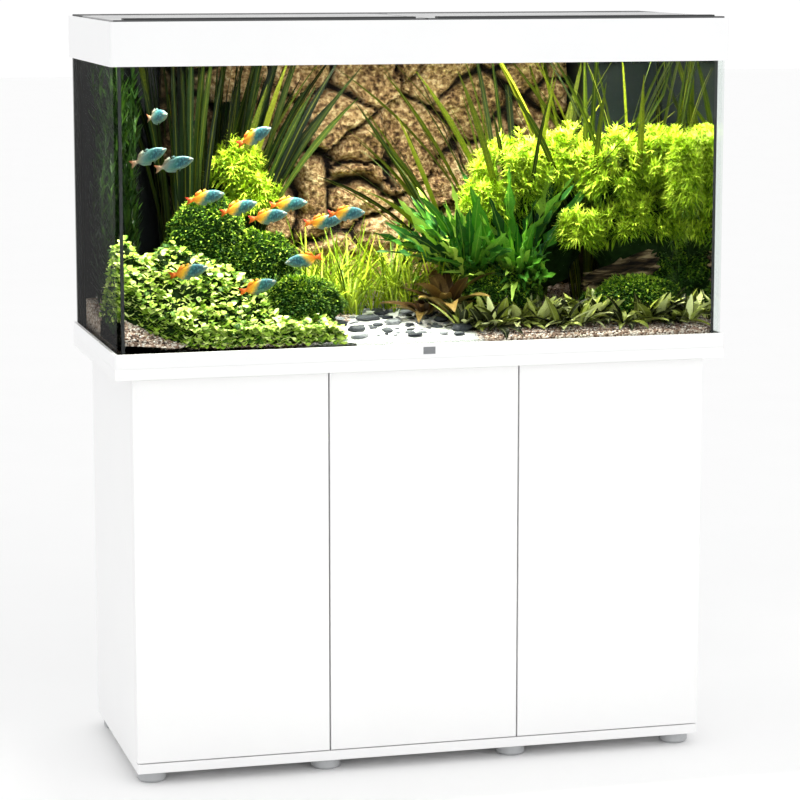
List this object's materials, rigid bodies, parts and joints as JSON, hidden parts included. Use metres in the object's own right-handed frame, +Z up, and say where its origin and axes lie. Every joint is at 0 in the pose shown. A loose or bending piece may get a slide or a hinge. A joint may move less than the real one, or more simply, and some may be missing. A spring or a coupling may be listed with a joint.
{
  "type": "aquarium on stand",
  "caption": "Planted aquarium with white frames and a hinged hood, standing on a white cabinet with handleless hinged doors.",
  "frame": {"origin": "on the floor under the middle of the tank's outline", "axes": "+Z up, +X to the viewer's right, the front faces -Y"},
  "size_m": [1.21, 0.51, 1.46],
  "materials": {
    "white_board": "satin white laminate on board",
    "dowel_wood": "plain beech",
    "driftwood": "weathered, dark",
    "hinge_steel": "nickel plated",
    "grey_plastic": "fine texture",
    "white_plastic": "satin",
    "badge_metal": "satin",
    "clear_glass": "float glass",
    "backed_glass": "float glass with a black film behind",
    "silicone": "smooth",
    "hood_plastic": "glossy dark grey",
    "black_plastic": "fine texture",
    "light_aluminium": "satin",
    "light_tube": "white diffuser",
    "sponge": "open foam",
    "heater_glass": "smoked tube",
    "gravel": "loose gravel and pale sand",
    "rock": "moulded rock relief",
    "moss": "fine moss on stone",
    "leaf": "living leaves",
    "fish_skin": "scales"
  },
  "bodies": {
    "tank_and_cabinet": {"cabinet_top_board": "white_board", "cabinet_bottom_board": "white_board", "side_panel_left": "white_board", "side_panel_right": "white_board", "divider_left": "white_board", "divider_right": "white_board", "back_panel": "white_board", "shelf_left": "white_board", "shelf_right": "white_board", "carcass_dowels": "dowel_wood", "driftwood": "driftwood", "shelf_pins": "hinge_steel", "hinge_arms": "hinge_steel", "feet": "grey_plastic", "push_latches": "grey_plastic", "base_frame": "white_plastic", "top_frame": "white_plastic", "cross_brace": "white_plastic", "badge_plate": "badge_metal", "glass_bottom": "clear_glass", "glass_front": "clear_glass", "glass_left": "clear_glass", "glass_right": "clear_glass", "glass_back": "backed_glass", "silicone_seams": "silicone", "lid_rear_strip": "black_plastic", "light_end_caps": "black_plastic", "filter_box": "black_plastic", "filter_pump": "black_plastic", "light_housing": "light_aluminium", "light_brackets": "light_aluminium", "light_tubes": "light_tube", "filter_sponges": "sponge", "heater": "heater_glass", "gravel_bed": "gravel", "background_rock": "rock", "moss_stones": "moss", "plants_left": "leaf", "plants_right": "leaf", "fish": "fish_skin"},
    "left_door": {"door_left": "white_board", "hinge_cups_left": "hinge_steel"},
    "middle_door": {"door_middle": "white_board", "hinge_cups_middle": "hinge_steel"},
    "right_door": {"door_right": "white_board", "hinge_cups_right": "hinge_steel"},
    "left_hinge_links": {"hinge_links_left": "hinge_steel"},
    "middle_hinge_links": {"hinge_links_middle": "hinge_steel"},
    "right_hinge_links": {"hinge_links_right": "hinge_steel"},
    "left_plunger": {"latch_plunger_left": "grey_plastic"},
    "middle_plunger": {"latch_plunger_middle": "grey_plastic"},
    "right_plunger": {"latch_plunger_right": "grey_plastic"},
    "left_flap": {"lid_flap_left": "hood_plastic", "flap_grip_left": "black_plastic", "flap_hinge_pins_left": "hinge_steel"},
    "right_flap": {"lid_flap_right": "hood_plastic", "flap_grip_right": "black_plastic", "flap_hinge_pins_right": "hinge_steel"},
    "nozzle": {"outlet_nozzle": "black_plastic"}
  },
  "joints": [
    {"name": "left_door_hinge", "type": "hinge", "parent": "tank_and_cabinet", "child": "left_door", "pos_m": [-0.569, -0.2335, 0.416], "axis": [0, 0, -1], "range_deg": [0, 95]},
    {"name": "left_link_slide", "type": "slide", "parent": "tank_and_cabinet", "child": "left_hinge_links", "axis": [0, -1, 0], "range_m": [0, 0.037]},
    {"name": "left_plunger_slide", "type": "slide", "parent": "tank_and_cabinet", "child": "left_plunger", "axis": [0, 1, 0], "range_m": [0, 0.0025], "stiffness_N_per_m": 400},
    {"name": "middle_door_hinge", "type": "hinge", "parent": "tank_and_cabinet", "child": "middle_door", "pos_m": [-0.18817, -0.2335, 0.416], "axis": [0, 0, -1], "range_deg": [0, 95]},
    {"name": "middle_link_slide", "type": "slide", "parent": "tank_and_cabinet", "child": "middle_hinge_links", "axis": [0, -1, 0], "range_m": [0, 0.037]},
    {"name": "middle_plunger_slide", "type": "slide", "parent": "tank_and_cabinet", "child": "middle_plunger", "axis": [0, 1, 0], "range_m": [0, 0.0025], "stiffness_N_per_m": 400},
    {"name": "right_door_hinge", "type": "hinge", "parent": "tank_and_cabinet", "child": "right_door", "pos_m": [0.569, -0.2335, 0.416], "axis": [0, 0, 1], "range_deg": [0, 95]},
    {"name": "right_link_slide", "type": "slide", "parent": "tank_and_cabinet", "child": "right_hinge_links", "axis": [0, -1, 0], "range_m": [0, 0.037]},
    {"name": "right_plunger_slide", "type": "slide", "parent": "tank_and_cabinet", "child": "right_plunger", "axis": [0, 1, 0], "range_m": [0, 0.0025], "stiffness_N_per_m": 400},
    {"name": "left_flap_hinge", "type": "hinge", "parent": "tank_and_cabinet", "child": "left_flap", "pos_m": [-0.3, 0.13, 1.453], "axis": [-1, 0, 0], "range_deg": [0, 80]},
    {"name": "right_flap_hinge", "type": "hinge", "parent": "tank_and_cabinet", "child": "right_flap", "pos_m": [0.3, 0.13, 1.453], "axis": [-1, 0, 0], "range_deg": [0, 80]},
    {"name": "nozzle_swivel", "type": "hinge", "parent": "tank_and_cabinet", "child": "nozzle", "pos_m": [0.507, 0.064, 1.398], "axis": [0, 1, 0], "range_deg": [-30, 30]}
  ],
  "couplings": [
    {"joint": "left_link_slide", "follows": "left_door_hinge", "m_per_rad": 0.022195},
    {"joint": "middle_link_slide", "follows": "middle_door_hinge", "m_per_rad": 0.022195},
    {"joint": "right_link_slide", "follows": "right_door_hinge", "m_per_rad": 0.022195}
  ]
}
